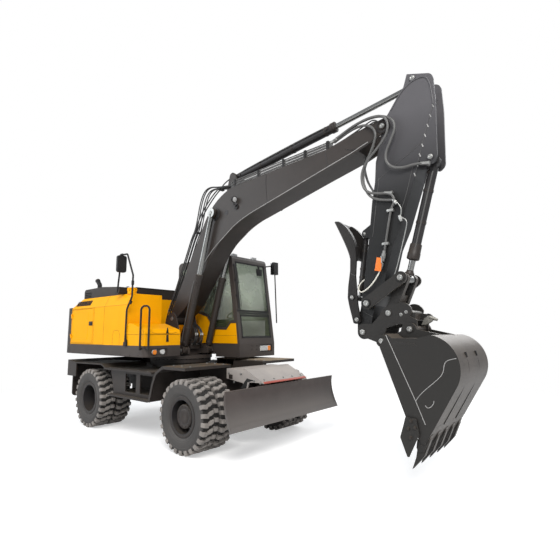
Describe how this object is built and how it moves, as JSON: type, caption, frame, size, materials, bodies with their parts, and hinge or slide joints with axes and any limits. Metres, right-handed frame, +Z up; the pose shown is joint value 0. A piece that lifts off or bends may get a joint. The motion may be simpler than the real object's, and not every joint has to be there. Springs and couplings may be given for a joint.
{
  "type": "wheeled excavator",
  "caption": "Wheeled excavator with twin tyres, dozer blade, slewing upper structure, one-piece boom, arm, bucket and thumb.",
  "frame": {"origin": "on the ground under the middle of the whole outline", "axes": "+X forward towards the blade and bucket, +Y to the machine's left (cab side), +Z up"},
  "size_m": [7.987, 2.776, 4.964],
  "materials": {
    "yellow_paint": "semi-gloss",
    "dark_paint": "satin",
    "grey_paint": "satin",
    "earth_paint": "satin",
    "worn_steel": "worn",
    "bright_rod": "polished",
    "tyre": "matt",
    "black_trim": "matt",
    "glass": "clear",
    "lamp_lens": "clear",
    "pale_paint": "satin"
  },
  "bodies": {
    "chassis": {"chassis_frame": "dark_paint", "axle_rear": "dark_paint", "axle_front": "dark_paint", "fenders_front": "dark_paint", "side_steps": "dark_paint", "rear_guard": "dark_paint", "front_guard": "pale_paint", "lamps_rear": "lamp_lens"},
    "knuckle_left": {"knuckle_left": "dark_paint"},
    "knuckle_right": {"knuckle_right": "dark_paint"},
    "wheel_front_left": {"tyres_front_left": "tyre", "rims_front_left": "grey_paint"},
    "wheel_front_right": {"tyres_front_right": "tyre", "rims_front_right": "grey_paint"},
    "wheel_rear_left": {"tyres_rear_left": "tyre", "rims_rear_left": "grey_paint"},
    "wheel_rear_right": {"tyres_rear_right": "tyre", "rims_rear_right": "grey_paint"},
    "blade_arms_lower": {"blade_arms_lower": "earth_paint"},
    "blade_arms_upper": {"blade_arms_upper": "earth_paint"},
    "blade": {"blade": "earth_paint"},
    "blade_cylinder_barrels": {"blade_cylinder_barrels": "dark_paint"},
    "blade_cylinder_rods": {"blade_cylinder_rods": "bright_rod"},
    "upper": {"deck": "dark_paint", "counterweight": "dark_paint", "engine_house": "yellow_paint", "engine_block": "worn_steel", "fuel_tank": "yellow_paint", "toolbox": "yellow_paint", "cab_shell": "dark_paint", "cab_side_panel": "yellow_paint", "cab_glass": "glass", "cab_seat": "black_trim", "lamps_upper": "lamp_lens", "handrail_right": "black_trim", "grab_rail": "black_trim", "mirror_left": "black_trim"},
    "toolbox_lid": {"toolbox_lid": "yellow_paint"},
    "engine_hood": {"engine_hood": "dark_paint", "exhaust_pipe": "black_trim"},
    "engine_door_left": {"engine_door_left": "yellow_paint"},
    "engine_door_right": {"engine_door_right": "yellow_paint"},
    "cab_door": {"cab_door": "dark_paint"},
    "boom": {"boom": "dark_paint"},
    "boom_cylinder_barrels": {"boom_cylinder_barrels": "dark_paint"},
    "boom_cylinder_rods": {"boom_cylinder_rods": "bright_rod"},
    "arm": {"arm": "grey_paint"},
    "arm_cylinder_barrel": {"arm_cylinder_barrel": "grey_paint"},
    "arm_cylinder_rod": {"arm_cylinder_rod": "bright_rod"},
    "bucket_cylinder_barrel": {"bucket_cylinder_barrel": "grey_paint"},
    "bucket_cylinder_rod": {"bucket_cylinder_rod": "bright_rod"},
    "guide_links": {"guide_links": "worn_steel"},
    "bucket_link": {"bucket_link": "worn_steel"},
    "bucket": {"quick_coupler": "worn_steel", "bucket": "worn_steel", "bucket_teeth": "worn_steel"},
    "thumb": {"thumb": "grey_paint"},
    "thumb_cylinder_barrel": {"thumb_cylinder_barrel": "grey_paint"},
    "thumb_cylinder_rod": {"thumb_cylinder_rod": "bright_rod"}
  },
  "joints": [
    {"name": "steer_left", "type": "hinge", "parent": "chassis", "child": "knuckle_left", "pos_m": [0.3575, 0.74, 0.525], "axis": [0, 0, 1], "range_deg": [-28, 28]},
    {"name": "steer_right", "type": "hinge", "parent": "chassis", "child": "knuckle_right", "pos_m": [0.3575, -0.74, 0.525], "axis": [0, 0, 1], "range_deg": [-28.5, 28.5]},
    {"name": "wheel_front_left_spin", "type": "hinge", "parent": "knuckle_left", "child": "wheel_front_left", "pos_m": [0.3575, 0.9635, 0.525], "axis": [0, 1, 0], "continuous": true},
    {"name": "wheel_front_right_spin", "type": "hinge", "parent": "knuckle_right", "child": "wheel_front_right", "pos_m": [0.3575, -0.9635, 0.525], "axis": [0, 1, 0], "continuous": true},
    {"name": "wheel_rear_left_spin", "type": "hinge", "parent": "chassis", "child": "wheel_rear_left", "pos_m": [-2.4425, 0.9635, 0.525], "axis": [0, 1, 0], "continuous": true},
    {"name": "wheel_rear_right_spin", "type": "hinge", "parent": "chassis", "child": "wheel_rear_right", "pos_m": [-2.4425, -0.9635, 0.525], "axis": [0, 1, 0], "continuous": true},
    {"name": "blade_lift", "type": "hinge", "parent": "chassis", "child": "blade_arms_lower", "pos_m": [0.6175, 0, 0.43], "axis": [0, -1, 0], "range_deg": [-50, 0]},
    {"name": "blade_link", "type": "hinge", "parent": "chassis", "child": "blade_arms_upper", "pos_m": [0.6175, 0, 0.68], "axis": [0, -1, 0], "range_deg": [-50.5, 0.5]},
    {"name": "blade_level", "type": "hinge", "parent": "blade_arms_lower", "child": "blade", "pos_m": [1.1335, 0, 0.675], "axis": [0, -1, 0], "range_deg": [-0.5, 50.5]},
    {"name": "blade_cylinder_swing", "type": "hinge", "parent": "chassis", "child": "blade_cylinder_barrels", "pos_m": [0.6675, 0, 0.96], "axis": [0, -1, 0], "range_deg": [-22.83, 0.5]},
    {"name": "blade_cylinder_stroke", "type": "slide", "parent": "blade_cylinder_barrels", "child": "blade_cylinder_rods", "axis": [0.7738, 0, -0.6334], "range_m": [-0.002, 0.4023]},
    {"name": "slew", "type": "hinge", "parent": "chassis", "child": "upper", "pos_m": [-1.3425, 0, 1.235], "axis": [0, 0, 1], "continuous": true},
    {"name": "cab_door_hinge", "type": "hinge", "parent": "upper", "child": "cab_door", "pos_m": [-1.1955, 1.312, 2.2], "axis": [0, 0, 1], "range_deg": [0, 90]},
    {"name": "toolbox_lid_hinge", "type": "hinge", "parent": "upper", "child": "toolbox_lid", "pos_m": [-1.1765, -0.925, 1.886], "axis": [0, -1, 0], "range_deg": [0, 75]},
    {"name": "engine_hood_hinge", "type": "hinge", "parent": "upper", "child": "engine_hood", "pos_m": [-3.4125, 0, 2.244], "axis": [0, -1, 0], "range_deg": [0, 50]},
    {"name": "engine_door_left_hinge", "type": "hinge", "parent": "upper", "child": "engine_door_left", "pos_m": [-3.2705, 1.281, 1.85], "axis": [0, 0, 1], "range_deg": [0, 90]},
    {"name": "engine_door_right_hinge", "type": "hinge", "parent": "upper", "child": "engine_door_right", "pos_m": [-3.2705, -1.281, 1.85], "axis": [0, 0, -1], "range_deg": [0, 90]},
    {"name": "boom_lift", "type": "hinge", "parent": "upper", "child": "boom", "pos_m": [-1.2925, -0.04, 1.98], "axis": [0, -1, 0], "range_deg": [-50, 20]},
    {"name": "boom_cylinder_swing", "type": "hinge", "parent": "upper", "child": "boom_cylinder_barrels", "pos_m": [-0.8525, -0.04, 1.4], "axis": [0, -1, 0], "range_deg": [-45.2, 18.38]},
    {"name": "boom_cylinder_stroke", "type": "slide", "parent": "boom_cylinder_barrels", "child": "boom_cylinder_rods", "axis": [0.2852, 0, 0.9585], "range_m": [-0.5814, 0.2337]},
    {"name": "arm_swing", "type": "hinge", "parent": "boom", "child": "arm", "pos_m": [3.1075, -0.04, 4.37], "axis": [0, 1, 0], "range_deg": [-80, 22]},
    {"name": "arm_cylinder_swing", "type": "hinge", "parent": "boom", "child": "arm_cylinder_barrel", "pos_m": [0.1975, -0.04, 4.46], "axis": [0, 1, 0], "range_deg": [-5.45, 1.86]},
    {"name": "arm_cylinder_stroke", "type": "slide", "parent": "arm_cylinder_barrel", "child": "arm_cylinder_rod", "axis": [0.9921, 0, 0.1255], "range_m": [-0.817, 0.2261]},
    {"name": "bucket_curl", "type": "hinge", "parent": "arm", "child": "bucket", "pos_m": [2.7275, -0.04, 1.71], "axis": [0, 1, 0], "range_deg": [-15, 108]},
    {"name": "guide_link_swing", "type": "hinge", "parent": "arm", "child": "guide_links", "pos_m": [2.8175, -0.04, 2.07], "axis": [0, 1, 0], "range_deg": [-12.59, 87.55]},
    {"name": "bucket_link_swing", "type": "hinge", "parent": "bucket", "child": "bucket_link", "pos_m": [3.0875, -0.04, 1.94], "axis": [0, 1, 0], "range_deg": [-95.06, 13.63]},
    {"name": "bucket_cylinder_swing", "type": "hinge", "parent": "arm", "child": "bucket_cylinder_barrel", "pos_m": [3.6875, -0.04, 3.79], "axis": [0, 1, 0], "range_deg": [-6.84, 1.38]},
    {"name": "bucket_cylinder_stroke", "type": "slide", "parent": "bucket_cylinder_barrel", "child": "bucket_cylinder_rod", "axis": [-0.2756, 0, -0.9613], "range_m": [-0.1061, 0.7518]},
    {"name": "thumb_swing", "type": "hinge", "parent": "arm", "child": "thumb", "pos_m": [2.6575, -0.04, 1.87], "axis": [0, 1, 0], "range_deg": [-110, 0]},
    {"name": "thumb_cylinder_swing", "type": "hinge", "parent": "arm", "child": "thumb_cylinder_barrel", "pos_m": [2.7255, -0.04, 3.02], "axis": [0, 1, 0], "range_deg": [-0.5, 12.33]},
    {"name": "thumb_cylinder_stroke", "type": "slide", "parent": "thumb_cylinder_barrel", "child": "thumb_cylinder_rod", "axis": [-0.1472, 0, -0.9891], "range_m": [-0.002, 0.4654]}
  ],
  "couplings": [
    {"joint": "steer_right", "follows": "steer_left", "ratio": 1},
    {"joint": "blade_link", "follows": "blade_lift", "ratio": 1},
    {"joint": "blade_level", "follows": "blade_lift", "ratio": -1},
    {"joint": "blade_cylinder_swing", "follows": "blade_lift", "ratio": 0.44664},
    {"joint": "blade_cylinder_stroke", "follows": "blade_lift", "m_per_rad": -0.45873},
    {"joint": "boom_cylinder_swing", "follows": "boom_lift", "ratio": 0.89407},
    {"joint": "boom_cylinder_stroke", "follows": "boom_lift", "m_per_rad": 0.66389},
    {"joint": "arm_cylinder_swing", "follows": "arm_swing", "ratio": 0.06186},
    {"joint": "arm_cylinder_stroke", "follows": "arm_swing", "m_per_rad": 0.58367},
    {"joint": "guide_link_swing", "follows": "bucket_curl", "ratio": 0.80604},
    {"joint": "bucket_link_swing", "follows": "bucket_curl", "ratio": -0.87556},
    {"joint": "bucket_cylinder_swing", "follows": "bucket_curl", "ratio": -0.05868},
    {"joint": "bucket_cylinder_stroke", "follows": "bucket_curl", "m_per_rad": 0.39776},
    {"joint": "thumb_cylinder_swing", "follows": "thumb_swing", "ratio": -0.10758},
    {"joint": "thumb_cylinder_stroke", "follows": "thumb_swing", "m_per_rad": -0.24136}
  ]
}
